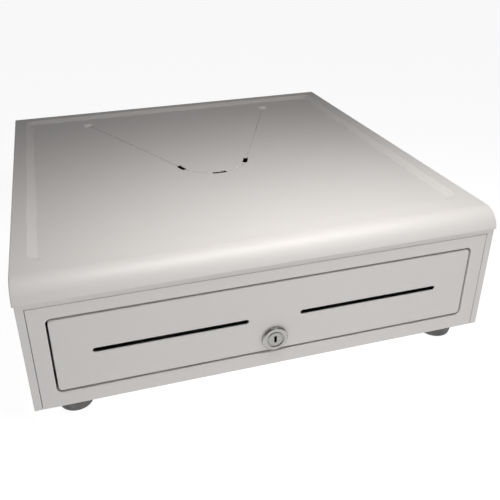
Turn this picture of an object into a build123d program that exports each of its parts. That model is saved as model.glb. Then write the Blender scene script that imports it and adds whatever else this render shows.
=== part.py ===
from build123d import *
import os
from math import atan2, cos, degrees, radians, sin

os.makedirs("parts", exist_ok=True)

# Frame: origin at the centre of the footprint at floor level, +Z up, the drawer opens towards -Y.

# Overall size
SHEET = 1.2
BODY_DEPTH = 414.0
BODY_HEIGHT = 117.6
CASE_HALF_WIDTH = 204.4
COVER_GAP = 0.1
COVER_HALF_WIDTH = CASE_HALF_WIDTH + COVER_GAP + SHEET
FOOT_HEIGHT = 11.0
FRONT_Y = -BODY_DEPTH / 2
REAR_Y = BODY_DEPTH / 2
BASE_Z = FOOT_HEIGHT
FLOOR_Z = BASE_Z + SHEET
TOP_Z = BASE_Z + BODY_HEIGHT

# Cover: rolled nose, skirts, recessed top panel and the scored cable tab
NOSE_RADIUS = 19.0
NOSE_PROUD = 1.5
NOSE_CENTRE_Y = FRONT_Y - NOSE_PROUD + NOSE_RADIUS
NOSE_CENTRE_Z = TOP_Z - NOSE_RADIUS
SKIRT_Z = BASE_Z + 101.5
COVER_EDGE_RADIUS = 1.2
RECESS_DEPTH = 3.0
RECESS_HALF_WIDTH = 192.0
RECESS_FRONT_Y = FRONT_Y + 36.0
RECESS_REAR_Y = REAR_Y - 12.0
RECESS_SLOPE = 8.0
RECESS_FRONT_SLOPE = 4.5
RECESS_CORNER = 10.0
TAB_CENTRE_Y = 1.4
TAB_RADIUS = 38.1
TAB_TANGENT_ANGLE = 204.8
TAB_HOLE_X = 116.0
TAB_HOLE_Y = 163.0
TAB_HOLE_RADIUS = 3.0
TAB_DIMPLE_RADIUS = 7.0
TAB_DIMPLE_DEPTH = 3.0
TAB_CUT_WIDTH = 0.7
TAB_SLOT_WIDTH = 5.0
TAB_SLOT_ANGLES = ((190, 212), (259, 281), (328, 350))

# Front frame
HEM_WIDTH = 6.5
SEAM = 0.4
RAIL_Z = BASE_Z + 97.2
RAIL_FLANGE = 16.0
BEZEL_HALF_WIDTH = CASE_HALF_WIDTH - HEM_WIDTH - SEAM
BEZEL_TOP_Z = RAIL_Z - SEAM
OPENING_HALF_WIDTH = 184.6
OPENING_BOTTOM_Z = BASE_Z + 13.6
OPENING_TOP_Z = BASE_Z + 85.4
OPENING_CORNER = 5.0
OPENING_RETURN = 11.0
OPENING_EDGE_RADIUS = 0.9

# Drawer front and pan
DRAWER_GAP = 1.7
DRAWER_RECESS = 0.3
DRAWER_FRONT_Y = FRONT_Y + DRAWER_RECESS
DRAWER_BACK_Y = FRONT_Y + 13.6
DRAWER_LIP = 14.0
FRONT_SCREW_X = 171.5
FRONT_SCREW_Z = (38.0, 82.0)
SLOT_Z = BASE_Z + 49.2
SLOT_INNER_X = 23.0
SLOT_OUTER_X = 152.5
SLOT_HEIGHT = 4.4
PAN_HALF_WIDTH = 178.0
PAN_REAR_Y = 150.0
PAN_BOTTOM_Z = 27.0
PAN_TOP_Z = 88.0
PAN_FLOOR_Z = PAN_BOTTOM_Z + SHEET

# Slides and rollers
CHANNEL_INNER_X = 179.8
CHANNEL_WEB_X = 186.4
CHANNEL_BOTTOM_Z = 30.0
CHANNEL_TOP_Z = 49.2
CHANNEL_FRONT_Y = -192.0
CHANNEL_REAR_Y = 186.0
ROLLER_INNER_X = 180.6
ROLLER_OUTER_X = 184.8
FRONT_ROLLER_Y = -183.0
FRONT_ROLLER_Z = 38.5
FRONT_ROLLER_RADIUS = 6.5
REAR_ROLLER_Y = 165.0
REAR_ROLLER_Z = 39.3
REAR_ROLLER_RADIUS = 8.0
AXLE_RADIUS = 2.0
RUNNING_GAP = 0.05
RUNNER_FLANGE_Z = 45.1
RUNNER_FLANGE_X = 183.6

# Lock
LOCK_Z = BASE_Z + 27.6
LOCK_FACE_Y = DRAWER_FRONT_Y - 2.7
LOCK_REAR_Y = -183.0
LOCK_FACE_RADIUS = 11.5
LOCK_BARREL_RADIUS = 9.4
PLUG_RADIUS = 7.0

# Latch, solenoid, ejector and switch behind the drawer
PIVOT_Y = 184.0
PIVOT_Z = 40.0
PLUNGER_Y = 171.0
PLUNGER_RADIUS = 4.9
CARRIER_Y = 189.0
SOLENOID_BOTTOM_Z = 60.0
SOLENOID_TOP_Z = 100.0
STRIKER_BAR_Y = 159.0
STRIKER_BAR_Z = 33.0
EJECTOR_X = 80.0
EJECTOR_Z = 50.0
SWITCH_PIVOT_X = -58.0
SWITCH_PIVOT_Y = 171.0

# Till
TILL_HALF_WIDTH = 174.5
TILL_FRONT_Y = -158.0
TILL_REAR_Y = 138.0
TILL_BOTTOM_Z = 41.0
TILL_TOP_Z = 86.0
TILL_WALL = 2.2
BILL_FRONT_Y = -26.0
COLUMNS = 5
COLUMN_PITCH = (2 * TILL_HALF_WIDTH - TILL_WALL) / COLUMNS
TILL_FLOOR_Z = TILL_BOTTOM_Z + TILL_WALL
CLIP_AXLE_Y = 131.0
CLIP_AXLE_Z = 82.0
CLIP_AXLE_RADIUS = 1.5

# Feet and fasteners
FOOT_X = 171.0
FOOT_INSET = 17.0
FOOT_TOP_RADIUS = 16.0
FOOT_BASE_RADIUS = 14.0
SCREW_RADIUS = 1.95
SCREW_HOLE_RADIUS = 2.1
SCREW_HEAD_RADIUS = 4.0
SCREW_HEAD_HEIGHT = 2.4
COVER_SCREW_X = (-150.0, 0.0, 150.0)
COVER_SCREW_Z = 119.0


def block(x0, x1, y0, y1, z0, z1, mode=Mode.ADD):
    """A box between two corners, in the part being built."""
    with Locations(((x0 + x1) / 2, (y0 + y1) / 2, (z0 + z1) / 2)):
        Box(x1 - x0, y1 - y0, z1 - z0, mode=mode)


def rod_x(x0, x1, y, z, radius, mode=Mode.ADD):
    """A round bar along X."""
    with Locations(Location(((x0 + x1) / 2, y, z), (0, 90, 0))):
        Cylinder(radius, x1 - x0, mode=mode)


def rod_y(x, y0, y1, z, radius, mode=Mode.ADD):
    """A round bar along Y."""
    with Locations(Location((x, (y0 + y1) / 2, z), (90, 0, 0))):
        Cylinder(radius, y1 - y0, mode=mode)


def rod_z(x, y, z0, z1, radius, mode=Mode.ADD):
    """A round bar along Z."""
    with Locations((x, y, (z0 + z1) / 2)):
        Cylinder(radius, z1 - z0, mode=mode)


def finish(piece, name):
    """Label a finished piece and write its file."""
    piece.part.label = name
    export_step(piece.part, f"parts/{name}.step")


def mirrored(value, side):
    """The two ends of an X range on one side of the drawer, low end first."""
    low, high = value
    return (low, high) if side > 0 else (-high, -low)


SIDES = (("left", -1), ("right", 1))


def nose_profile(inset, bottom_z):
    """Side view of the cover, or of what fits inside it: rolled front, flat top, straight back."""
    radius = NOSE_RADIUS - inset
    top_z = TOP_Z - inset
    rear_y = REAR_Y - inset
    front_y = NOSE_CENTRE_Y - radius
    with BuildLine() as outline:
        CenterArc((NOSE_CENTRE_Y, NOSE_CENTRE_Z), radius, 90, 90)
        Line((NOSE_CENTRE_Y, top_z), (rear_y, top_z))
        Line((rear_y, top_z), (rear_y, bottom_z))
        Line((rear_y, bottom_z), (front_y, bottom_z))
        Line((front_y, bottom_z), (front_y, NOSE_CENTRE_Z))
    make_face(outline.edges())


def recess_loft(top_z, bottom_z, outward):
    """The sloped-wall recess in the cover's top; outward grows it by one sheet for the underside."""
    rims = (
        (top_z, RECESS_HALF_WIDTH, RECESS_FRONT_Y, RECESS_REAR_Y, RECESS_CORNER),
        (
            bottom_z,
            RECESS_HALF_WIDTH - RECESS_SLOPE,
            RECESS_FRONT_Y + RECESS_FRONT_SLOPE,
            RECESS_REAR_Y - RECESS_SLOPE,
            RECESS_CORNER - RECESS_FRONT_SLOPE,
        ),
    )
    sections = []
    for z, half_width, front_y, rear_y, corner in rims:
        with BuildSketch(Plane.XY.offset(z)) as rim:
            with Locations((0, (front_y + rear_y) / 2)):
                RectangleRounded(2 * (half_width + outward), rear_y - front_y + 2 * outward, corner)
        sections.append(rim.sketch.face())
    loft(sections)


def tab_arc(start, end, width, top_z, depth):
    """Cut an arc of the cable tab into the panel."""
    inner = TAB_RADIUS - width / 2
    outer = TAB_RADIUS + width / 2
    with BuildLine() as outline:
        inner_arc = CenterArc((0, TAB_CENTRE_Y), inner, start, end - start)
        outer_arc = CenterArc((0, TAB_CENTRE_Y), outer, start, end - start)
        Line(inner_arc @ 0, outer_arc @ 0)
        Line(inner_arc @ 1, outer_arc @ 1)
    with BuildSketch(Plane.XY.offset(top_z)) as sector:
        make_face(outline.edges())
    extrude(sector.sketch.face(), amount=-depth, mode=Mode.SUBTRACT)


# ---------------------------------------------------------------------------- top cover
with BuildPart() as under_cover:
    with BuildSketch(Plane.YZ):
        nose_profile(SHEET, NOSE_CENTRE_Z - 10)
    extrude(amount=CASE_HALF_WIDTH + COVER_GAP, both=True)

with BuildPart() as recess_underside:
    recess_loft(TOP_Z, TOP_Z - RECESS_DEPTH - SHEET, SHEET)

with BuildPart() as recess:
    recess_loft(TOP_Z, TOP_Z - RECESS_DEPTH, 0)

with BuildPart() as top_cover:
    with BuildSketch(Plane.YZ):
        nose_profile(0, NOSE_CENTRE_Z - 5)
    extrude(amount=COVER_HALF_WIDTH, both=True)
    bent_edges = top_cover.edges().filter_by(
        lambda edge: edge.center().Z > NOSE_CENTRE_Z + 1
        and (
            abs(abs(edge.center().X) - COVER_HALF_WIDTH) < 0.01
            or (edge.center().Y > REAR_Y - 0.01 and edge.center().Z > TOP_Z - 0.01)
        )
    )
    fillet(bent_edges, COVER_EDGE_RADIUS)
    split(bisect_by=Plane.XY.offset(SKIRT_Z), keep=Keep.TOP)
    add(under_cover.part, mode=Mode.SUBTRACT)
    add(recess_underside.part)
    add(recess.part, mode=Mode.SUBTRACT)
    # Cable tab: two straight cuts running into an arc, wider slots on the arc, a dimpled hole at each end
    panel_top = TOP_Z - RECESS_DEPTH
    tangent = radians(TAB_TANGENT_ANGLE)
    tangent_x = -TAB_RADIUS * cos(tangent)
    tangent_y = TAB_CENTRE_Y + TAB_RADIUS * sin(tangent)
    for side in (-1, 1):
        with Locations((side * TAB_HOLE_X, TAB_HOLE_Y, panel_top)):
            Cone(
                TAB_HOLE_RADIUS + SHEET,
                TAB_DIMPLE_RADIUS + SHEET,
                TAB_DIMPLE_DEPTH,
                align=(Align.CENTER, Align.CENTER, Align.MAX),
            )
    for side in (-1, 1):
        with Locations((side * TAB_HOLE_X, TAB_HOLE_Y, panel_top)):
            Cone(
                TAB_HOLE_RADIUS,
                TAB_DIMPLE_RADIUS,
                TAB_DIMPLE_DEPTH,
                align=(Align.CENTER, Align.CENTER, Align.MAX),
                mode=Mode.SUBTRACT,
            )
    for side in (-1, 1):
        run = Vector(side * (TAB_HOLE_X - tangent_x), TAB_HOLE_Y - tangent_y)
        middle = (side * (TAB_HOLE_X + tangent_x) / 2, (TAB_HOLE_Y + tangent_y) / 2)
        with BuildSketch(Plane.XY.offset(panel_top)):
            with Locations(Location((*middle, 0), (0, 0, degrees(atan2(run.Y, run.X))))):
                Rectangle(run.length, TAB_CUT_WIDTH)
        extrude(amount=-SHEET / 2, mode=Mode.SUBTRACT)
    for start, end in TAB_SLOT_ANGLES:
        tab_arc(start, end, TAB_SLOT_WIDTH, panel_top, 2 * SHEET)
    tab_arc(TAB_TANGENT_ANGLE, 540 - TAB_TANGENT_ANGLE, TAB_CUT_WIDTH, panel_top, SHEET / 2)
    for x in COVER_SCREW_X:
        rod_y(x, REAR_Y - 4, REAR_Y + 1, COVER_SCREW_Z, SCREW_HOLE_RADIUS, Mode.SUBTRACT)
finish(top_cover, "top_cover")

# ---------------------------------------------------------------------------- case
CASE_INSET = NOSE_PROUD
CASE_REAR_Y = REAR_Y - CASE_INSET
foot_places = [(x, y) for x in (-FOOT_X, FOOT_X) for y in (FRONT_Y + FOOT_INSET, REAR_Y - FOOT_INSET)]

with BuildPart() as case_shell:
    for x_start in (-CASE_HALF_WIDTH, CASE_HALF_WIDTH - SHEET):
        with BuildSketch(Plane.YZ.offset(x_start)):
            nose_profile(CASE_INSET, BASE_Z)
        extrude(amount=SHEET)
    block(-CASE_HALF_WIDTH, CASE_HALF_WIDTH, FRONT_Y + SHEET, CASE_REAR_Y, BASE_Z, FLOOR_Z)
    for side in (-1, 1):
        hem = mirrored((CASE_HALF_WIDTH - HEM_WIDTH, CASE_HALF_WIDTH), side)
        block(*hem, FRONT_Y, FRONT_Y + SHEET, BASE_Z, SKIRT_Z - 0.1)
    block(-CASE_HALF_WIDTH, CASE_HALF_WIDTH, FRONT_Y, FRONT_Y + SHEET, RAIL_Z, SKIRT_Z - 0.1)
    block(
        -CASE_HALF_WIDTH,
        CASE_HALF_WIDTH,
        FRONT_Y,
        FRONT_Y + RAIL_FLANGE,
        SKIRT_Z - 0.1 - SHEET,
        SKIRT_Z - 0.1,
    )
    front_corners = case_shell.edges().filter_by(Axis.Z).filter_by(
        lambda edge: abs(edge.center().Y - FRONT_Y) < 0.01 and abs(edge.center().X) > CASE_HALF_WIDTH - 0.01
    )
    fillet(front_corners, 0.8)
    for x, y in foot_places:
        rod_z(x, y, BASE_Z - 1, FLOOR_Z + 1, SCREW_HOLE_RADIUS, Mode.SUBTRACT)
finish(case_shell, "case_shell")

SOCKET_X = -129.0
SOCKET_Z = 37.0
SOCKET_HALF_WIDTH = 8.0
SOCKET_HALF_HEIGHT = 7.0
PANEL_HALF_WIDTH = CASE_HALF_WIDTH - SHEET - 0.1
PANEL_Y = CASE_REAR_Y - SHEET
PANEL_FLANGE = 10.0

with BuildPart() as rear_panel:
    block(-PANEL_HALF_WIDTH, PANEL_HALF_WIDTH, PANEL_Y, CASE_REAR_Y, FLOOR_Z, TOP_Z - CASE_INSET - 0.5)
    for side in (-1, 1):
        flange = mirrored((PANEL_HALF_WIDTH - SHEET, PANEL_HALF_WIDTH), side)
        block(*flange, PANEL_Y - PANEL_FLANGE, PANEL_Y, FLOOR_Z, SKIRT_Z)
    block(-PANEL_HALF_WIDTH, PANEL_HALF_WIDTH, PANEL_Y - PANEL_FLANGE, PANEL_Y, FLOOR_Z, FLOOR_Z + SHEET)
    for x, y in foot_places:
        rod_z(x, y, FLOOR_Z - 1, FLOOR_Z + 2 * SHEET, SCREW_HEAD_RADIUS + 3, Mode.SUBTRACT)
    for x in COVER_SCREW_X:
        rod_y(x, PANEL_Y - 1, CASE_REAR_Y + 1, COVER_SCREW_Z, SCREW_HOLE_RADIUS, Mode.SUBTRACT)
    block(
        SOCKET_X - SOCKET_HALF_WIDTH - 0.3,
        SOCKET_X + SOCKET_HALF_WIDTH + 0.3,
        PANEL_Y - 1,
        CASE_REAR_Y + 1,
        SOCKET_Z - SOCKET_HALF_HEIGHT - 0.3,
        SOCKET_Z + SOCKET_HALF_HEIGHT + 0.3,
        Mode.SUBTRACT,
    )
finish(rear_panel, "rear_panel")

opening_width = 2 * OPENING_HALF_WIDTH
opening_height = OPENING_TOP_Z - OPENING_BOTTOM_Z
opening_mid_z = (OPENING_TOP_Z + OPENING_BOTTOM_Z) / 2


def front_plane(y):
    """A sketching plane facing forwards at depth y: its own x is X and its own y is Z."""
    return Plane(origin=(0, y, 0), x_dir=(1, 0, 0), z_dir=(0, -1, 0))


with BuildPart() as front_bezel:
    block(-BEZEL_HALF_WIDTH, BEZEL_HALF_WIDTH, FRONT_Y, FRONT_Y + SHEET, BASE_Z, BEZEL_TOP_Z)
    with BuildSketch(front_plane(FRONT_Y + SHEET + OPENING_RETURN)):
        with Locations((0, opening_mid_z)):
            RectangleRounded(opening_width + 2 * SHEET, opening_height + 2 * SHEET, OPENING_CORNER + SHEET)
    extrude(amount=OPENING_RETURN)
    with BuildSketch(front_plane(FRONT_Y + SHEET + OPENING_RETURN)):
        with Locations((0, opening_mid_z)):
            RectangleRounded(opening_width, opening_height, OPENING_CORNER)
    extrude(amount=OPENING_RETURN + 2 * SHEET, mode=Mode.SUBTRACT)
    rolled_edge = front_bezel.edges().filter_by(
        lambda edge: abs(edge.center().Y - FRONT_Y) < 0.01
        and abs(edge.center().X) < OPENING_HALF_WIDTH + 0.1
        and OPENING_BOTTOM_Z - 0.1 < edge.center().Z < OPENING_TOP_Z + 0.1
    )
    fillet(rolled_edge, OPENING_EDGE_RADIUS)
    block(
        -OPENING_HALF_WIDTH, OPENING_HALF_WIDTH, FRONT_Y + SHEET, FRONT_Y + 11, FLOOR_Z, FLOOR_Z + SHEET
    )
    outline = front_bezel.edges().filter_by(
        lambda edge: abs(edge.center().Y - FRONT_Y) < 0.01
        and (abs(edge.center().X) > BEZEL_HALF_WIDTH - 0.1 or edge.center().Z > BEZEL_TOP_Z - 0.1)
    )
    fillet(outline, 0.4)
finish(front_bezel, "front_bezel")

# ---------------------------------------------------------------------------- feet and screws
with BuildPart() as foot_shape:
    with BuildSketch(Plane.XZ):
        with BuildLine():
            Polyline(
                (2.2, FOOT_HEIGHT),
                (FOOT_TOP_RADIUS, FOOT_HEIGHT),
                (FOOT_TOP_RADIUS, FOOT_HEIGHT - 2),
                (FOOT_BASE_RADIUS, 0),
                (6.5, 0),
                (6.5, 6),
                (2.2, 6),
                close=True,
            )
        make_face()
    revolve(axis=Axis.Z)
    base_edge = foot_shape.edges().group_by(Axis.Z)[0].sort_by(SortBy.RADIUS)[-1]
    fillet(base_edge, 1.0)

for row, foot_y in (("front", FRONT_Y + FOOT_INSET), ("rear", REAR_Y - FOOT_INSET)):
    for side_name, side in SIDES:
        with BuildPart() as foot:
            with Locations((side * FOOT_X, foot_y, 0)):
                add(foot_shape.part)
        finish(foot, f"foot_{row}_{side_name}")

with BuildPart() as foot_screws:
    for x, y in foot_places:
        rod_z(x, y, 6 - SCREW_HEAD_HEIGHT, 6, SCREW_HEAD_RADIUS)
        rod_z(x, y, 6, FLOOR_Z + 4, SCREW_RADIUS)
finish(foot_screws, "foot_screws")

with BuildPart() as cover_screws:
    for x in COVER_SCREW_X:
        rod_y(x, REAR_Y, REAR_Y + SCREW_HEAD_HEIGHT, COVER_SCREW_Z, SCREW_HEAD_RADIUS)
        rod_y(x, REAR_Y - 8, REAR_Y, COVER_SCREW_Z, SCREW_RADIUS)
finish(cover_screws, "cover_screws")

# ---------------------------------------------------------------------------- fixed slides
for side_name, side in SIDES:
    with BuildPart() as slide_channel:
        web = mirrored((CHANNEL_WEB_X, CHANNEL_WEB_X + SHEET), side)
        flange = mirrored((CHANNEL_INNER_X, CHANNEL_WEB_X), side)
        block(*web, CHANNEL_FRONT_Y, CHANNEL_REAR_Y, CHANNEL_BOTTOM_Z, CHANNEL_TOP_Z)
        for z in (CHANNEL_BOTTOM_Z, CHANNEL_TOP_Z - SHEET):
            block(*flange, CHANNEL_FRONT_Y, CHANNEL_REAR_Y, z, z + SHEET)
        rod_x(*web, FRONT_ROLLER_Y, FRONT_ROLLER_Z, AXLE_RADIUS + 0.1, Mode.SUBTRACT)
    finish(slide_channel, f"slide_channel_{side_name}")

BRACKET_Y = (-160.0, 0.0, 160.0)
WALL_INNER_X = CASE_HALF_WIDTH - SHEET
with BuildPart() as slide_brackets:
    for side in (-1, 1):
        inner_leg = mirrored((CHANNEL_WEB_X + SHEET, CHANNEL_WEB_X + 2 * SHEET), side)
        outer_leg = mirrored((WALL_INNER_X - SHEET, WALL_INNER_X), side)
        bridge = mirrored((CHANNEL_WEB_X + SHEET, WALL_INNER_X), side)
        for y in BRACKET_Y:
            block(*inner_leg, y - 10, y + 10, CHANNEL_BOTTOM_Z, CHANNEL_TOP_Z)
            block(*outer_leg, y - 10, y + 10, CHANNEL_BOTTOM_Z, CHANNEL_TOP_Z)
            block(*bridge, y - 10, y + 10, CHANNEL_BOTTOM_Z, CHANNEL_BOTTOM_Z + SHEET)
finish(slide_brackets, "slide_brackets")

with BuildPart() as slide_end_stops:
    for side in (-1, 1):
        stop = mirrored((CHANNEL_INNER_X + 0.4, CHANNEL_WEB_X), side)
        block(
            *stop,
            REAR_ROLLER_Y + REAR_ROLLER_RADIUS + 0.6,
            REAR_ROLLER_Y + REAR_ROLLER_RADIUS + 7,
            CHANNEL_BOTTOM_Z + SHEET,
            CHANNEL_TOP_Z - SHEET,
        )
finish(slide_end_stops, "slide_end_stops")

with BuildPart() as front_roller_axles:
    for side in (-1, 1):
        shank = mirrored((ROLLER_INNER_X - 0.2, CHANNEL_WEB_X + SHEET), side)
        inner_head = mirrored((ROLLER_INNER_X - 0.7, ROLLER_INNER_X - 0.2), side)
        outer_head = mirrored((CHANNEL_WEB_X + SHEET, CHANNEL_WEB_X + 2 * SHEET), side)
        rod_x(*shank, FRONT_ROLLER_Y, FRONT_ROLLER_Z, AXLE_RADIUS)
        rod_x(*inner_head, FRONT_ROLLER_Y, FRONT_ROLLER_Z, AXLE_RADIUS + 1)
        rod_x(*outer_head, FRONT_ROLLER_Y, FRONT_ROLLER_Z, AXLE_RADIUS + 1.5)
finish(front_roller_axles, "front_roller_axles")


def roller_pair(name, y, z, radius):
    """The left and right rollers that share one axis."""
    with BuildPart() as rollers:
        for side in (-1, 1):
            width = mirrored((ROLLER_INNER_X, ROLLER_OUTER_X), side)
            rod_x(*width, y, z, radius)
        rims = rollers.edges().filter_by(GeomType.CIRCLE)
        fillet(rims, 0.5)
        for side in (-1, 1):
            width = mirrored((ROLLER_INNER_X, ROLLER_OUTER_X), side)
            rod_x(*width, y, z, AXLE_RADIUS + RUNNING_GAP, Mode.SUBTRACT)
    finish(rollers, name)


roller_pair("front_rollers", FRONT_ROLLER_Y, FRONT_ROLLER_Z, FRONT_ROLLER_RADIUS)
roller_pair("rear_rollers", REAR_ROLLER_Y, REAR_ROLLER_Z, REAR_ROLLER_RADIUS)

# ---------------------------------------------------------------------------- drawer
drawer_half_width = OPENING_HALF_WIDTH - DRAWER_GAP
drawer_height = opening_height - 2 * DRAWER_GAP
drawer_corner = OPENING_CORNER - DRAWER_GAP

with BuildPart() as drawer_front:
    with BuildSketch(front_plane(DRAWER_BACK_Y)):
        with Locations((0, opening_mid_z)):
            RectangleRounded(2 * drawer_half_width, drawer_height, drawer_corner)
    extrude(amount=DRAWER_BACK_Y - DRAWER_FRONT_Y)
    face_outline = drawer_front.edges().group_by(Axis.Y)[0]
    fillet(face_outline, 1.1)
    with BuildSketch(front_plane(DRAWER_BACK_Y)):
        with Locations((0, opening_mid_z)):
            RectangleRounded(
                2 * (drawer_half_width - SHEET), drawer_height - 2 * SHEET, drawer_corner - SHEET
            )
    extrude(amount=DRAWER_BACK_Y - DRAWER_FRONT_Y - SHEET, mode=Mode.SUBTRACT)
    for side in (-1, 1):
        lip = mirrored((drawer_half_width - SHEET - DRAWER_LIP, drawer_half_width - 0.6), side)
        block(
            *lip,
            DRAWER_BACK_Y - SHEET,
            DRAWER_BACK_Y,
            opening_mid_z - drawer_height / 2 + 6,
            opening_mid_z + drawer_height / 2 - 6,
        )
    with BuildSketch(front_plane(DRAWER_FRONT_Y + 2 * SHEET)):
        for side in (-1, 1):
            with Locations((side * (SLOT_INNER_X + SLOT_OUTER_X) / 2, SLOT_Z)):
                SlotOverall(SLOT_OUTER_X - SLOT_INNER_X, SLOT_HEIGHT)
    extrude(amount=4 * SHEET, mode=Mode.SUBTRACT)
    rod_y(0, DRAWER_FRONT_Y - 1, DRAWER_FRONT_Y + 3, LOCK_Z, LOCK_BARREL_RADIUS + 0.1, Mode.SUBTRACT)
    for x in (-FRONT_SCREW_X, FRONT_SCREW_X):
        for z in FRONT_SCREW_Z:
            rod_y(x, DRAWER_BACK_Y - 3, DRAWER_BACK_Y + 1, z, SCREW_HOLE_RADIUS, Mode.SUBTRACT)
finish(drawer_front, "drawer_front")

PAN_WALL_HALF_WIDTH = drawer_half_width - SHEET
with BuildPart() as drawer_pan:
    block(-PAN_HALF_WIDTH, PAN_HALF_WIDTH, DRAWER_BACK_Y, PAN_REAR_Y, PAN_BOTTOM_Z, PAN_TOP_Z)
    block(
        -PAN_HALF_WIDTH + SHEET,
        PAN_HALF_WIDTH - SHEET,
        DRAWER_BACK_Y + SHEET,
        PAN_REAR_Y - SHEET,
        PAN_FLOOR_Z,
        PAN_TOP_Z + 1,
        Mode.SUBTRACT,
    )
    block(
        -PAN_WALL_HALF_WIDTH, PAN_WALL_HALF_WIDTH, DRAWER_BACK_Y, DRAWER_BACK_Y + SHEET, PAN_BOTTOM_Z, 93.0
    )
    upright_edges = drawer_pan.edges().filter_by(Axis.Z).filter_by(
        lambda edge: abs(abs(edge.center().X) - PAN_HALF_WIDTH) < 0.01
        and abs(edge.center().Y - PAN_REAR_Y) < 0.01
    )
    fillet(upright_edges, 1.0)
    with BuildSketch(front_plane(DRAWER_BACK_Y + SHEET)):
        for side in (-1, 1):
            with Locations((side * (SLOT_INNER_X + SLOT_OUTER_X) / 2, SLOT_Z)):
                SlotOverall(SLOT_OUTER_X - SLOT_INNER_X + 6, 8)
    extrude(amount=SHEET, mode=Mode.SUBTRACT)
    rod_y(0, DRAWER_BACK_Y - 1, DRAWER_BACK_Y + 3, LOCK_Z, LOCK_BARREL_RADIUS + 1, Mode.SUBTRACT)
    for x in (-FRONT_SCREW_X, FRONT_SCREW_X):
        for z in FRONT_SCREW_Z:
            rod_y(x, DRAWER_BACK_Y - 1, DRAWER_BACK_Y + 3, z, SCREW_HOLE_RADIUS, Mode.SUBTRACT)
finish(drawer_pan, "drawer_pan")

with BuildPart() as front_screws:
    for x in (-FRONT_SCREW_X, FRONT_SCREW_X):
        for z in FRONT_SCREW_Z:
            rod_y(x, DRAWER_BACK_Y + SHEET, DRAWER_BACK_Y + SHEET + 1.2, z, 3.0)
            rod_y(x, DRAWER_BACK_Y - 5, DRAWER_BACK_Y + SHEET, z, SCREW_RADIUS)
finish(front_screws, "front_screws")

for side_name, side in SIDES:
    with BuildPart() as runner:
        plate = mirrored((PAN_HALF_WIDTH, PAN_HALF_WIDTH + SHEET), side)
        flange = mirrored((PAN_HALF_WIDTH + SHEET, RUNNER_FLANGE_X), side)
        block(*plate, DRAWER_BACK_Y + SHEET + 0.2, REAR_ROLLER_Y + 7, 33.0, 58.0)
        block(*flange, DRAWER_BACK_Y + SHEET + 0.2, 152.0, RUNNER_FLANGE_Z, RUNNER_FLANGE_Z + SHEET)
        rod_x(*plate, REAR_ROLLER_Y, REAR_ROLLER_Z, AXLE_RADIUS + 0.1, Mode.SUBTRACT)
    finish(runner, f"runner_{side_name}")

with BuildPart() as rear_roller_axles:
    for side in (-1, 1):
        shank = mirrored((PAN_HALF_WIDTH, ROLLER_OUTER_X + 0.2), side)
        outer_head = mirrored((ROLLER_OUTER_X + 0.2, ROLLER_OUTER_X + 0.8), side)
        inner_head = mirrored((PAN_HALF_WIDTH - 1, PAN_HALF_WIDTH), side)
        rod_x(*shank, REAR_ROLLER_Y, REAR_ROLLER_Z, AXLE_RADIUS)
        rod_x(*outer_head, REAR_ROLLER_Y, REAR_ROLLER_Z, AXLE_RADIUS + 1)
        rod_x(*inner_head, REAR_ROLLER_Y, REAR_ROLLER_Z, AXLE_RADIUS + 1.5)
finish(rear_roller_axles, "rear_roller_axles")

with BuildPart() as striker:
    block(-14, 14, PAN_REAR_Y, PAN_REAR_Y + SHEET, 28.5, 48)
    for side in (-1, 1):
        arm = mirrored((7.0, 7.0 + SHEET), side)
        block(*arm, PAN_REAR_Y + SHEET, STRIKER_BAR_Y + 3, STRIKER_BAR_Z - 4, STRIKER_BAR_Z + 4)
    rod_x(-7, 7, STRIKER_BAR_Y, STRIKER_BAR_Z, 2.0)
finish(striker, "striker")

# The chutes carry paper from the front slots down to the space under the till
with BuildPart() as media_chutes:
    chute_front_y = DRAWER_BACK_Y + SHEET
    for side in (-1, 1):
        span = mirrored((SLOT_INNER_X - 2, SLOT_OUTER_X + 2), side)
        with BuildSketch(Plane.YZ.offset(span[0])):
            with BuildLine():
                Polyline(
                    (chute_front_y, 50),
                    (chute_front_y, 54.8),
                    (chute_front_y + 1, 54.8),
                    (TILL_FRONT_Y - 4, 35),
                    (TILL_FRONT_Y - 4, 33.6),
                    (chute_front_y + 1, 53.2),
                    (chute_front_y + 1, 50),
                    close=True,
                )
            make_face()
        extrude(amount=span[1] - span[0])
finish(media_chutes, "media_chutes")

with BuildPart() as till_ledges:
    for side in (-1, 1):
        shelf = mirrored((PAN_HALF_WIDTH - SHEET - 6, PAN_HALF_WIDTH - SHEET), side)
        leg = mirrored((PAN_HALF_WIDTH - 2 * SHEET, PAN_HALF_WIDTH - SHEET), side)
        block(*shelf, TILL_FRONT_Y, TILL_REAR_Y, TILL_BOTTOM_Z - SHEET, TILL_BOTTOM_Z)
        block(*leg, TILL_FRONT_Y, TILL_REAR_Y, 31.0, TILL_BOTTOM_Z - SHEET)
finish(till_ledges, "till_ledges")

# ---------------------------------------------------------------------------- lock
with BuildPart() as lock_body:
    rod_y(0, LOCK_FACE_Y, DRAWER_FRONT_Y, LOCK_Z, LOCK_FACE_RADIUS)
    chamfer(lock_body.edges().group_by(Axis.Y)[0], 0.9)
    rod_y(0, DRAWER_FRONT_Y, LOCK_REAR_Y, LOCK_Z, LOCK_BARREL_RADIUS)
    rod_y(0, LOCK_FACE_Y - 1, LOCK_FACE_Y + 0.7, LOCK_Z, PLUG_RADIUS + 1.1, Mode.SUBTRACT)
    rod_y(0, LOCK_FACE_Y - 1, LOCK_REAR_Y + 1, LOCK_Z, PLUG_RADIUS + RUNNING_GAP, Mode.SUBTRACT)
    block(
        -0.9,
        0.9,
        LOCK_FACE_Y - 0.15,
        LOCK_FACE_Y + 0.6,
        LOCK_Z + PLUG_RADIUS + 1.3,
        LOCK_Z + LOCK_FACE_RADIUS - 0.7,
    )
finish(lock_body, "lock_body")

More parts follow.
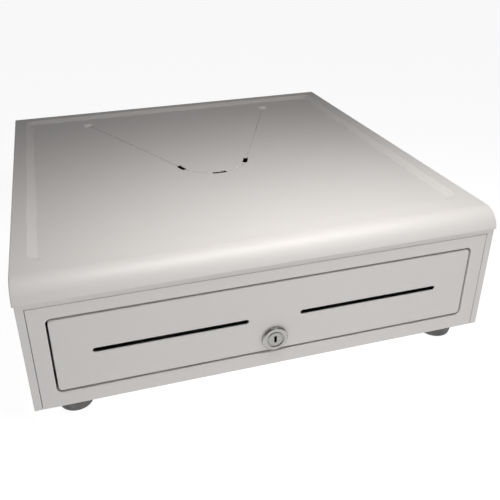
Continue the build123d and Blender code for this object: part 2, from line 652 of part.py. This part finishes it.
with BuildPart() as lock_nut:
    with BuildSketch(front_plane(DRAWER_FRONT_Y + SHEET + 4)):
        with Locations((0, LOCK_Z)):
            RegularPolygon(11.0, 6)
            Circle(LOCK_BARREL_RADIUS + 0.1, mode=Mode.SUBTRACT)
    extrude(amount=4)
finish(lock_nut, "lock_nut")

KEYWAY_WIDTH = 2.4
KEYWAY_HEIGHT = 6.4
TAIL_RADIUS = 3.5
CAM_Y = LOCK_REAR_Y + 4
with BuildPart() as lock_plug:
    rod_y(0, LOCK_FACE_Y + 0.2, LOCK_REAR_Y, LOCK_Z, PLUG_RADIUS)
    chamfer(lock_plug.edges().group_by(Axis.Y)[0], 0.5)
    rod_y(0, LOCK_REAR_Y, CAM_Y + 3, LOCK_Z, TAIL_RADIUS)
    block(
        -KEYWAY_WIDTH / 2,
        KEYWAY_WIDTH / 2,
        LOCK_FACE_Y,
        LOCK_FACE_Y + 20,
        LOCK_Z - KEYWAY_HEIGHT / 2,
        LOCK_Z + KEYWAY_HEIGHT / 2,
        Mode.SUBTRACT,
    )
finish(lock_plug, "lock_plug")

with BuildPart() as lock_cam:
    with BuildSketch(front_plane(CAM_Y + 2)):
        with Locations((0, LOCK_Z + 6)):
            SlotOverall(22, 9, rotation=90)
        with Locations((0, LOCK_Z)):
            Circle(TAIL_RADIUS, mode=Mode.SUBTRACT)
    extrude(amount=2)
finish(lock_cam, "lock_cam")

# ---------------------------------------------------------------------------- latch and solenoid
CARRIER_SHEET = 1.5
with BuildPart() as latch_carrier:
    block(-24, 24, CARRIER_Y, CARRIER_Y + CARRIER_SHEET, FLOOR_Z, SOLENOID_TOP_Z + 4)
    block(-64, -24, CARRIER_Y, CARRIER_Y + CARRIER_SHEET, 38, 56)
    block(-24, 24, CARRIER_Y - 14, CARRIER_Y, FLOOR_Z, FLOOR_Z + CARRIER_SHEET)
    for side in (-1, 1):
        ear = mirrored((5.0, 6.5), side)
        block(*ear, PIVOT_Y - 6, CARRIER_Y, PIVOT_Z - 7, PIVOT_Z + 7)
        rod_x(*ear, PIVOT_Y, PIVOT_Z, 2.1, Mode.SUBTRACT)
finish(latch_carrier, "latch_carrier")

with BuildPart() as latch_pivot_pin:
    rod_x(-6.5, 6.5, PIVOT_Y, PIVOT_Z, 2.0)
    for side in (-1, 1):
        head = mirrored((6.5, 7.5), side)
        rod_x(*head, PIVOT_Y, PIVOT_Z, 3.2)
finish(latch_pivot_pin, "latch_pivot_pin")

with BuildPart() as latch_lever:
    with BuildSketch(Plane.YZ.offset(-1.5)):
        with BuildLine():
            Polyline(
                (PIVOT_Y, 44),
                (152.4, 44),
                (152.4, 35.8),
                (154.0, 35.6),
                (156.2, 37.0),
                (PIVOT_Y, 36.4),
                close=True,
            )
        make_face()
        with Locations((PIVOT_Y, PIVOT_Z)):
            Circle(4.6)
            Circle(2.0 + RUNNING_GAP, mode=Mode.SUBTRACT)
        with Locations((PLUNGER_Y, PIVOT_Z)):
            Circle(1.8, mode=Mode.SUBTRACT)
    extrude(amount=3)
finish(latch_lever, "latch_lever")

with BuildPart() as solenoid_frame:
    block(-13, 13, CARRIER_Y - 2, CARRIER_Y, SOLENOID_BOTTOM_Z, SOLENOID_TOP_Z)
    for z in (SOLENOID_BOTTOM_Z, SOLENOID_TOP_Z - 2):
        block(-13, 13, PLUNGER_Y - 12, CARRIER_Y - 2, z, z + 2)
    rod_z(
        0, PLUNGER_Y, SOLENOID_BOTTOM_Z - 1, SOLENOID_BOTTOM_Z + 3, PLUNGER_RADIUS + 0.1, Mode.SUBTRACT
    )
finish(solenoid_frame, "solenoid_frame")

with BuildPart() as solenoid_coil:
    rod_z(0, PLUNGER_Y, SOLENOID_BOTTOM_Z + 2, SOLENOID_TOP_Z - 2, 10.0)
    rod_z(0, PLUNGER_Y, SOLENOID_BOTTOM_Z + 2, SOLENOID_BOTTOM_Z + 3.5, 11.8)
    rod_z(0, PLUNGER_Y, SOLENOID_TOP_Z - 3.5, SOLENOID_TOP_Z - 2, 11.8)
    rod_z(0, PLUNGER_Y, SOLENOID_BOTTOM_Z + 1, SOLENOID_TOP_Z - 4, PLUNGER_RADIUS + 0.1, Mode.SUBTRACT)
finish(solenoid_coil, "solenoid_coil")

with BuildPart() as solenoid_plunger:
    rod_z(0, PLUNGER_Y, 47, 90, PLUNGER_RADIUS)
    rod_z(0, PLUNGER_Y, 50, 51.5, PLUNGER_RADIUS + 1.6)
    for side in (-1, 1):
        fork = mirrored((2.0, 4.2), side)
        block(*fork, PLUNGER_Y - 2.4, PLUNGER_Y + 2.4, 36.5, 48)
        rod_x(*fork, PLUNGER_Y, PIVOT_Z, 1.05, Mode.SUBTRACT)
finish(solenoid_plunger, "solenoid_plunger")

with BuildPart() as plunger_pin:
    rod_x(-4.4, 4.4, PLUNGER_Y, PIVOT_Z, 1.0)
finish(plunger_pin, "plunger_pin")


def coil_spring(name, start, direction, height, radius, wire, turns):
    """A helical compression spring that starts at a point and runs along a direction."""
    rise = height - wire
    with BuildPart() as spring:
        with BuildLine():
            helix = Helix(rise / turns, rise, radius, center=start, direction=direction)
        with BuildSketch(Plane(origin=helix @ 0, z_dir=helix % 0)) as section:
            Circle(wire / 2)
        sweep(section.sketch.face(), path=helix, is_frenet=True)
    finish(spring, name)


coil_spring("plunger_spring", (0, PLUNGER_Y, 52.1), (0, 0, 1), 7.6, 5.9, 0.9, 3)
coil_spring("ejector_spring", (EJECTOR_X, 166.6, EJECTOR_Z), (0, 1, 0), 24, 4.6, 1.0, 7)

with BuildPart() as ejector_housing:
    rod_y(EJECTOR_X, 164, PANEL_Y, EJECTOR_Z, 7.5)
    rod_y(EJECTOR_X, PANEL_Y - 2, PANEL_Y, EJECTOR_Z, 12.0)
    rod_y(EJECTOR_X, 163, PANEL_Y - 3, EJECTOR_Z, 6.2, Mode.SUBTRACT)
finish(ejector_housing, "ejector_housing")

with BuildPart() as ejector_pusher:
    rod_y(EJECTOR_X, PAN_REAR_Y + 0.5, PAN_REAR_Y + 5, EJECTOR_Z, 6.0)
    rod_y(EJECTOR_X, PAN_REAR_Y + 5, 165, EJECTOR_Z, 3.0)
    rod_y(EJECTOR_X, 165, 166, EJECTOR_Z, 6.0)
    rod_y(EJECTOR_X, 166, 193, EJECTOR_Z, 3.0)
finish(ejector_pusher, "ejector_pusher")

with BuildPart() as switch_body:
    block(-60, -40, 174, CARRIER_Y, 42, 52)
    rod_z(SWITCH_PIVOT_X, SWITCH_PIVOT_Y, 43.5, 50.5, 1.0)
    for z in (42, 50.5):
        block(-60, -56, SWITCH_PIVOT_Y - 1.5, 174, z, z + 1.5)
finish(switch_body, "switch_body")

with BuildPart() as switch_lever:
    with BuildSketch(Plane.XY.offset(44.5)):
        with BuildLine():
            Polyline(
                (SWITCH_PIVOT_X + 0.5, SWITCH_PIVOT_Y - 0.4),
                (-42.0, 154.5),
                (-41.0, 151.0),
                (-42.6, 151.0),
                (SWITCH_PIVOT_X - 1.0, SWITCH_PIVOT_Y - 1.6),
                close=True,
            )
        make_face()
        with Locations((SWITCH_PIVOT_X, SWITCH_PIVOT_Y)):
            Circle(1.7)
            Circle(1.0 + RUNNING_GAP, mode=Mode.SUBTRACT)
    extrude(amount=5)
finish(switch_lever, "switch_lever")

BOARD_Y = 190.0
with BuildPart() as control_board:
    block(-175, -95, BOARD_Y - 1.6, BOARD_Y, 22, 74)
    block(-168, -150, BOARD_Y - 10, BOARD_Y - 1.6, 30, 42)
    block(-112, -102, BOARD_Y - 7, BOARD_Y - 1.6, 52, 66)
    rod_y(-140, BOARD_Y - 14, BOARD_Y - 1.6, 60, 5)
finish(control_board, "control_board")

with BuildPart() as board_standoffs:
    for x in (-170, -100):
        for z in (27, 69):
            rod_y(x, BOARD_Y, PANEL_Y, z, 3.0)
finish(board_standoffs, "board_standoffs")

with BuildPart() as interface_socket:
    block(
        SOCKET_X - SOCKET_HALF_WIDTH,
        SOCKET_X + SOCKET_HALF_WIDTH,
        BOARD_Y,
        CASE_REAR_Y + 0.8,
        SOCKET_Z - SOCKET_HALF_HEIGHT,
        SOCKET_Z + SOCKET_HALF_HEIGHT,
    )
    block(
        SOCKET_X - 6,
        SOCKET_X + 6,
        CASE_REAR_Y - 11,
        CASE_REAR_Y + 1,
        SOCKET_Z - 2,
        SOCKET_Z + 5,
        Mode.SUBTRACT,
    )
    block(
        SOCKET_X - 3,
        SOCKET_X + 3,
        CASE_REAR_Y - 6,
        CASE_REAR_Y + 1,
        SOCKET_Z - 4.5,
        SOCKET_Z,
        Mode.SUBTRACT,
    )
finish(interface_socket, "interface_socket")

# ---------------------------------------------------------------------------- till
inner_left = -TILL_HALF_WIDTH + TILL_WALL
column_width = COLUMN_PITCH - TILL_WALL
with BuildPart() as till_tray:
    block(-TILL_HALF_WIDTH, TILL_HALF_WIDTH, TILL_FRONT_Y, TILL_REAR_Y, TILL_BOTTOM_Z, TILL_TOP_Z)
    outer_corners = till_tray.edges().filter_by(Axis.Z)
    fillet(outer_corners, 6)
    for column in range(COLUMNS):
        x0 = inner_left + column * COLUMN_PITCH
        block(
            x0,
            x0 + column_width,
            BILL_FRONT_Y,
            TILL_REAR_Y - TILL_WALL,
            TILL_FLOOR_Z,
            TILL_TOP_Z + 1,
            Mode.SUBTRACT,
        )
    block(
        inner_left,
        -inner_left,
        TILL_FRONT_Y + TILL_WALL,
        BILL_FRONT_Y - TILL_WALL,
        TILL_FLOOR_Z,
        TILL_TOP_Z + 1,
        Mode.SUBTRACT,
    )
    rod_x(
        -TILL_HALF_WIDTH - 1,
        TILL_HALF_WIDTH + 1,
        CLIP_AXLE_Y,
        CLIP_AXLE_Z,
        CLIP_AXLE_RADIUS + RUNNING_GAP,
        Mode.SUBTRACT,
    )
finish(till_tray, "till_tray")

CUP_GAP = 0.4
CUP_WALL = 1.8
CUP_TOP_Z = TILL_TOP_Z - 3
CUP_PITCH = 2 * -inner_left / COLUMNS
for column in range(COLUMNS):
    cup_x0 = inner_left + column * CUP_PITCH + CUP_GAP
    cup_x1 = inner_left + (column + 1) * CUP_PITCH - CUP_GAP
    cup_y0 = TILL_FRONT_Y + TILL_WALL + CUP_GAP
    cup_y1 = BILL_FRONT_Y - TILL_WALL - CUP_GAP
    with BuildPart() as coin_cup:
        block(cup_x0, cup_x1, cup_y0, cup_y1, TILL_FLOOR_Z + 0.1, CUP_TOP_Z)
        long_bottom = coin_cup.edges().filter_by(Axis.X).group_by(Axis.Z)[0]
        fillet(long_bottom, 20)
        with BuildSketch(Plane.YZ.offset(cup_x0 + CUP_WALL)):
            with Locations(((cup_y0 + cup_y1) / 2, (TILL_FLOOR_Z + CUP_TOP_Z) / 2 + CUP_WALL + 5)):
                RectangleRounded(
                    cup_y1 - cup_y0 - 2 * CUP_WALL, CUP_TOP_Z - TILL_FLOOR_Z + 10 - CUP_WALL, 18.2
                )
        extrude(amount=cup_x1 - cup_x0 - 2 * CUP_WALL, mode=Mode.SUBTRACT)
        block(
            cup_x0 + CUP_WALL,
            cup_x1 - CUP_WALL,
            cup_y0 + CUP_WALL,
            cup_y1 - CUP_WALL,
            CUP_TOP_Z - 12,
            CUP_TOP_Z + 1,
            Mode.SUBTRACT,
        )
    finish(coin_cup, f"coin_cup_{column + 1}")

with BuildPart() as clip_axle:
    rod_x(-TILL_HALF_WIDTH + 0.3, TILL_HALF_WIDTH - 0.3, CLIP_AXLE_Y, CLIP_AXLE_Z, CLIP_AXLE_RADIUS)
finish(clip_axle, "clip_axle")

CLIP_TIP_Y = 50.0
CLIP_TIP_Z = TILL_FLOOR_Z + 0.8
CLIP_THICKNESS = 2.0
for column in range(COLUMNS):
    clip_x = inner_left + column * COLUMN_PITCH + column_width / 2
    with BuildPart() as bill_clip:
        with BuildSketch(Plane.YZ.offset(clip_x - 7)):
            with BuildLine():
                Polyline(
                    (CLIP_AXLE_Y, CLIP_AXLE_Z + 1),
                    (CLIP_TIP_Y + 16, CLIP_TIP_Z + CLIP_THICKNESS),
                    (CLIP_TIP_Y + 16, CLIP_TIP_Z),
                    (CLIP_AXLE_Y, CLIP_AXLE_Z - 2),
                    close=True,
                )
            make_face()
        extrude(amount=14)
        with BuildSketch(Plane.XY.offset(CLIP_TIP_Z)):
            with Locations((clip_x, CLIP_TIP_Y + 9)):
                RectangleRounded(34, 18, 6)
        extrude(amount=CLIP_THICKNESS)
        rod_x(clip_x - 10, clip_x + 10, CLIP_AXLE_Y, CLIP_AXLE_Z, 3.4)
        rod_x(
            clip_x - 11, clip_x + 11, CLIP_AXLE_Y, CLIP_AXLE_Z, CLIP_AXLE_RADIUS + RUNNING_GAP, Mode.SUBTRACT
        )
    finish(bill_clip, f"bill_clip_{column + 1}")
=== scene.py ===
import bpy
from mathutils import Matrix, Vector


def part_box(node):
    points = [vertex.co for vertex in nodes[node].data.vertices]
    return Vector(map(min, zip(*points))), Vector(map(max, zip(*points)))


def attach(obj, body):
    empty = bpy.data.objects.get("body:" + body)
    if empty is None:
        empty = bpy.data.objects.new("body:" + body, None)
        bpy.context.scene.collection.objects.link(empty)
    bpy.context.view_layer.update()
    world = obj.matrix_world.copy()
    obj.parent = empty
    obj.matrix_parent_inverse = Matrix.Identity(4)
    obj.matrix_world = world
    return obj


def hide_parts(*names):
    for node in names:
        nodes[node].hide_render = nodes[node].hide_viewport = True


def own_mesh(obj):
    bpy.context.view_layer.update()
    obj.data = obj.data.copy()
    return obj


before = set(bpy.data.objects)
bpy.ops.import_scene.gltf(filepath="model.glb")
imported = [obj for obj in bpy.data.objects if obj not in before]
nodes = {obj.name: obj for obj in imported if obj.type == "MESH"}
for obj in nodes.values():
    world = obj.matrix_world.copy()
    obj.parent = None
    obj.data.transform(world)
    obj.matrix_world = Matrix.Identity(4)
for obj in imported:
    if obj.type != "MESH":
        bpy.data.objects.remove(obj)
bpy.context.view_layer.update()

LOCK_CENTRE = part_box("lock_plug")[0].lerp(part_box("lock_plug")[1], 0.5)


class Shader:
    """A Principled material with object coordinates, built one node at a time."""

    def __init__(self, name, color, roughness, metallic=0.0):
        self.material = bpy.data.materials.new(name)
        self.material.use_nodes = True
        self.tree = self.material.node_tree
        self.principled = self.tree.nodes["Principled BSDF"]
        self.set(self.principled, "Base Color", (*color, 1.0))
        self.set(self.principled, "Roughness", roughness)
        self.set(self.principled, "Metallic", metallic)
        self.coords = self.tree.nodes.new("ShaderNodeTexCoord").outputs["Object"]
        self.normal = None

    def set(self, node, socket, value):
        node.inputs[socket].default_value = value

    def join(self, source, node, socket):
        self.tree.links.new(source, node.inputs[socket])

    def mapping(self, scale=(1, 1, 1), location=(0, 0, 0)):
        node = self.tree.nodes.new("ShaderNodeMapping")
        self.set(node, "Scale", scale)
        self.set(node, "Location", location)
        self.join(self.coords, node, "Vector")
        return node.outputs["Vector"]

    def noise(self, scale, detail=3.0, vector=None, roughness=0.5):
        node = self.tree.nodes.new("ShaderNodeTexNoise")
        self.set(node, "Scale", scale)
        self.set(node, "Detail", detail)
        self.set(node, "Roughness", roughness)
        self.join(vector or self.coords, node, "Vector")
        return node.outputs["Fac"]

    def cells(self, scale, vector=None):
        node = self.tree.nodes.new("ShaderNodeTexVoronoi")
        self.set(node, "Scale", scale)
        self.join(vector or self.coords, node, "Vector")
        return node.outputs["Color"]

    def waves(self, scale, direction, rings=False, vector=None):
        node = self.tree.nodes.new("ShaderNodeTexWave")
        node.wave_type = "RINGS" if rings else "BANDS"
        if rings:
            node.rings_direction = direction
        else:
            node.bands_direction = direction
        self.set(node, "Scale", scale)
        self.set(node, "Distortion", 0.4)
        self.join(vector or self.coords, node, "Vector")
        return node.outputs["Fac"]

    def spread(self, factor, low, high, start=0.3, end=0.7):
        """A value that runs from low to high as the factor runs from start to end."""
        node = self.tree.nodes.new("ShaderNodeMapRange")
        self.set(node, "From Min", start)
        self.set(node, "From Max", end)
        self.set(node, "To Min", low)
        self.set(node, "To Max", high)
        self.join(factor, node, "Value")
        return node.outputs["Result"]

    def tint(self, factor, first, second, start=0.3, end=0.7):
        """Base colour that runs from first to second."""
        node = self.tree.nodes.new("ShaderNodeValToRGB")
        node.color_ramp.elements[0].position = start
        node.color_ramp.elements[0].color = (*first, 1.0)
        node.color_ramp.elements[1].position = end
        node.color_ramp.elements[1].color = (*second, 1.0)
        self.join(factor, node, "Fac")
        self.join(node.outputs["Color"], self.principled, "Base Color")

    def shine(self, factor, low, high):
        self.join(self.spread(factor, low, high), self.principled, "Roughness")

    def soften(self, radius):
        """Rounds the look of sharp edges."""
        node = self.tree.nodes.new("ShaderNodeBevel")
        node.samples = 8
        self.set(node, "Radius", radius)
        self._shade(node.outputs["Normal"])

    def bump(self, height, strength, distance):
        node = self.tree.nodes.new("ShaderNodeBump")
        self.set(node, "Strength", strength)
        self.set(node, "Distance", distance)
        self.join(height, node, "Height")
        if self.normal is not None:
            self.join(self.normal, node, "Normal")
        self._shade(node.outputs["Normal"])

    def _shade(self, normal):
        self.normal = normal
        self.join(normal, self.principled, "Normal")


def powder_coat(name, color, edge):
    """Satin white powder coat: orange peel, a faint clear layer and slight shade changes."""
    paint = Shader(name, color, 0.45)
    paint.soften(edge)
    shade = paint.noise(6.0, 2.0)
    paint.tint(shade, tuple(0.975 * c for c in color), color)
    paint.shine(paint.noise(40.0, 4.0), 0.42, 0.50)
    paint.bump(paint.noise(420.0, 2.0), 0.22, 0.00012)
    paint.bump(paint.noise(2600.0, 1.0), 0.10, 0.00004)
    paint.set(paint.principled, "Coat Weight", 0.08)
    paint.set(paint.principled, "Coat Roughness", 0.35)
    return paint.material


def rubber(name):
    foot = Shader(name, (0.05, 0.05, 0.052), 0.7)
    foot.soften(0.0005)
    foot.tint(foot.noise(90.0, 5.0), (0.075, 0.075, 0.078), (0.14, 0.138, 0.136))
    foot.shine(foot.noise(260.0, 4.0), 0.58, 0.78)
    foot.bump(foot.noise(1500.0, 3.0), 0.35, 0.0001)
    return foot.material


def galvanised(name):
    """Zinc-coated sheet with its crystal pattern."""
    sheet = Shader(name, (0.55, 0.56, 0.57), 0.4, 1.0)
    sheet.soften(0.0003)
    spangle = sheet.cells(120.0)
    sheet.tint(spangle, (0.44, 0.45, 0.46), (0.66, 0.67, 0.68), 0.1, 0.9)
    sheet.shine(spangle, 0.30, 0.48)
    sheet.bump(sheet.noise(700.0, 3.0), 0.12, 0.00005)
    return sheet.material


def brushed(name, color, grain, roughness=0.28):
    """Machined or drawn metal with fine lines along one direction."""
    metal = Shader(name, color, roughness, 1.0)
    metal.soften(0.0002)
    lines = metal.noise(1.0, 3.0, metal.mapping(scale=grain))
    metal.tint(lines, tuple(0.86 * c for c in color), color)
    metal.shine(lines, roughness - 0.06, roughness + 0.08)
    metal.bump(lines, 0.12, 0.00003)
    return metal.material


def lathe_turned(name, color, roughness):
    """Nickel plate with fine turning rings round the lock's axis."""
    metal = Shader(name, color, roughness, 1.0)
    metal.soften(0.00025)
    rings = metal.waves(1400.0, "Y", True, metal.mapping(location=tuple(-c for c in LOCK_CENTRE)))
    metal.tint(rings, tuple(0.9 * c for c in color), color, 0.0, 1.0)
    metal.shine(metal.noise(220.0, 4.0), roughness - 0.05, roughness + 0.08)
    metal.bump(rings, 0.08, 0.00002)
    return metal.material


def moulded(name, color, roughness):
    """Spark-eroded moulded plastic."""
    plastic = Shader(name, color, roughness)
    plastic.soften(0.0005)
    darker = tuple(0.9 * c for c in color)
    lighter = tuple(1.08 * c for c in color)
    plastic.tint(plastic.noise(12.0, 3.0), darker, lighter)
    plastic.shine(plastic.noise(60.0, 3.0), roughness - 0.05, roughness + 0.07)
    plastic.bump(plastic.noise(1700.0, 3.0), 0.25, 0.00008)
    return plastic.material


def coil_winding(name):
    coil = Shader(name, (0.30, 0.12, 0.03), 0.3)
    turns = coil.waves(700.0, "Z")
    coil.tint(turns, (0.12, 0.04, 0.012), (0.46, 0.20, 0.06), 0.1, 0.9)
    coil.bump(turns, 0.5, 0.0002)
    coil.set(coil.principled, "Coat Weight", 0.5)
    return coil.material


def circuit_board(name):
    board = Shader(name, (0.02, 0.14, 0.05), 0.35)
    board.soften(0.0002)
    board.tint(board.cells(380.0), (0.015, 0.10, 0.035), (0.03, 0.19, 0.07), 0.2, 0.8)
    board.bump(board.waves(260.0, "Z"), 0.15, 0.00006)
    board.set(board.principled, "Coat Weight", 0.4)
    return board.material


WHITE = (0.75, 0.728, 0.712)
finishes = {
    "lid": powder_coat("lid_powder_coat", WHITE, 0.0008),
    "shell": powder_coat("shell_powder_coat", WHITE, 0.0005),
    "rubber": rubber("foot_rubber"),
    "sheet": galvanised("galvanised_sheet"),
    "screw": brushed("zinc_screw", (0.62, 0.61, 0.58), (900, 900, 900), 0.3),
    "rod": brushed("ground_rod", (0.66, 0.66, 0.65), (60, 2200, 2200), 0.2),
    "spring": brushed("spring_wire", (0.45, 0.45, 0.46), (600, 600, 600), 0.3),
    "lock": lathe_turned("lock_nickel", (0.42, 0.41, 0.395), 0.27),
    "plug": lathe_turned("plug_nickel", (0.38, 0.37, 0.355), 0.3),
    "roller": moulded("acetal_roller", (0.80, 0.79, 0.75), 0.35),
    "tray": moulded("till_plastic", (0.035, 0.035, 0.037), 0.45),
    "cup": moulded("cup_plastic", (0.05, 0.05, 0.053), 0.4),
    "clip": moulded("clip_plastic", (0.028, 0.028, 0.03), 0.5),
    "socket": moulded("socket_plastic", (0.02, 0.02, 0.02), 0.5),
    "coil": coil_winding("coil_winding"),
    "board": circuit_board("circuit_board"),
}

FINISH_OF = {
    "top_cover": "lid",
    "case_shell": "shell",
    "rear_panel": "shell",
    "front_bezel": "shell",
    "drawer_front": "shell",
    "foot_screws": "screw",
    "cover_screws": "screw",
    "front_screws": "screw",
    "board_standoffs": "screw",
    "lock_cam": "screw",
    "foot_": "rubber",
    "slide_end_stops": "rubber",
    "front_roller_axles": "rod",
    "rear_roller_axles": "rod",
    "latch_pivot_pin": "rod",
    "plunger_pin": "rod",
    "clip_axle": "rod",
    "solenoid_plunger": "rod",
    "plunger_spring": "spring",
    "ejector_spring": "spring",
    "lock_body": "lock",
    "lock_nut": "lock",
    "lock_plug": "plug",
    "front_rollers": "roller",
    "rear_rollers": "roller",
    "ejector_": "roller",
    "till_tray": "tray",
    "coin_cup": "cup",
    "bill_clip": "clip",
    "switch_body": "socket",
    "interface_socket": "socket",
    "solenoid_coil": "coil",
    "control_board": "board",
}


def finish_for(name):
    """The finish of a CAD node: its own entry, else that of its family, else plain zinc sheet."""
    if name in FINISH_OF:
        return finishes[FINISH_OF[name]]
    for family, finish in FINISH_OF.items():
        if name.startswith(family):
            return finishes[finish]
    return finishes["sheet"]


for name, node in nodes.items():
    node.data.materials.clear()
    node.data.materials.append(finish_for(name))

# The plunger's return spring is replaced by a copy with a mesh of its own, hung from the root body
return_spring = bpy.data.objects.new("return_spring", nodes["plunger_spring"].data.copy())
bpy.context.scene.collection.objects.link(return_spring)
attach(return_spring, "root")
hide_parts("plunger_spring")
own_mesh(return_spring)

# Studio: glowing pale floor, dim ambient light, a low key light just above the nose so that the lid
# darkens towards its back, and weak lights from the front right and the left
FLOOR_SIZE = 80.0
FLOOR_GLOW = 0.90
AMBIENT = 0.11
bpy.ops.mesh.primitive_plane_add(size=FLOOR_SIZE)
floor = bpy.context.object
floor.name = "studio_floor"
floor_look = Shader("floor_paper", (0.30, 0.30, 0.30), 0.9)
floor_look.bump(floor_look.noise(60.0, 2.0), 0.02, 0.0002)
floor_look.set(floor_look.principled, "Emission Color", (1.0, 1.0, 1.0, 1.0))
floor_look.set(floor_look.principled, "Emission Strength", FLOOR_GLOW)
floor.data.materials.append(floor_look.material)

world = bpy.data.worlds.new("studio")
bpy.context.scene.world = world
world.use_nodes = True
sky = world.node_tree.nodes["Background"]
sky.inputs["Color"].default_value = (1.0, 0.99, 0.99, 1.0)
sky.inputs["Strength"].default_value = AMBIENT


def area_light(name, place, target, width, height, power, color):
    data = bpy.data.lights.new(name, "AREA")
    data.shape = "RECTANGLE"
    data.size = width
    data.size_y = height
    data.energy = power
    data.color = color
    light = bpy.data.objects.new(name, data)
    light.location = place
    light.rotation_euler = (Vector(target) - Vector(place)).to_track_quat("-Z", "Y").to_euler()
    bpy.context.scene.collection.objects.link(light)


area_light(
    "key",
    place=(0.06, -0.25, 0.45),
    target=(0.06, -0.19, 0.0),
    width=0.42,
    height=0.16,
    power=1.5,
    color=(1.0, 0.985, 0.97),
)
area_light(
    "side",
    place=(0.60, -0.75, 0.28),
    target=(0.12, -0.21, 0.07),
    width=0.35,
    height=0.25,
    power=0.2,
    color=(1.0, 0.99, 0.975),
)
area_light(
    "fill",
    place=(-1.3, -0.5, 0.7),
    target=(-0.1, 0.0, 0.06),
    width=0.9,
    height=0.7,
    power=0.3,
    color=(0.97, 0.985, 1.0),
)

# Camera: the lens axis falls a little left of and above the middle of the picture
SENSOR_WIDTH = 36.0
FOCAL_LENGTH = 44.81
LENS_SHIFT = (0.0573, -0.0507)
CAMERA_PLACE = (-0.1550, -0.6118, 0.3712)
RIGHT = Vector((0.9626, -0.2702, -0.0184))
DOWN = Vector((-0.1395, -0.4365, -0.8888))
FORWARD = Vector((0.2322, 0.8582, -0.4578))

camera_data = bpy.data.cameras.new("camera")
camera_data.sensor_width = SENSOR_WIDTH
camera_data.lens = FOCAL_LENGTH
camera_data.shift_x, camera_data.shift_y = LENS_SHIFT
camera = bpy.data.objects.new("camera", camera_data)
facing = Matrix((RIGHT, -DOWN, -FORWARD)).transposed().to_4x4()
camera.matrix_world = Matrix.Translation(CAMERA_PLACE) @ facing
bpy.context.scene.collection.objects.link(camera)
bpy.context.scene.camera = camera
bpy.context.scene.view_settings.view_transform = "Standard"
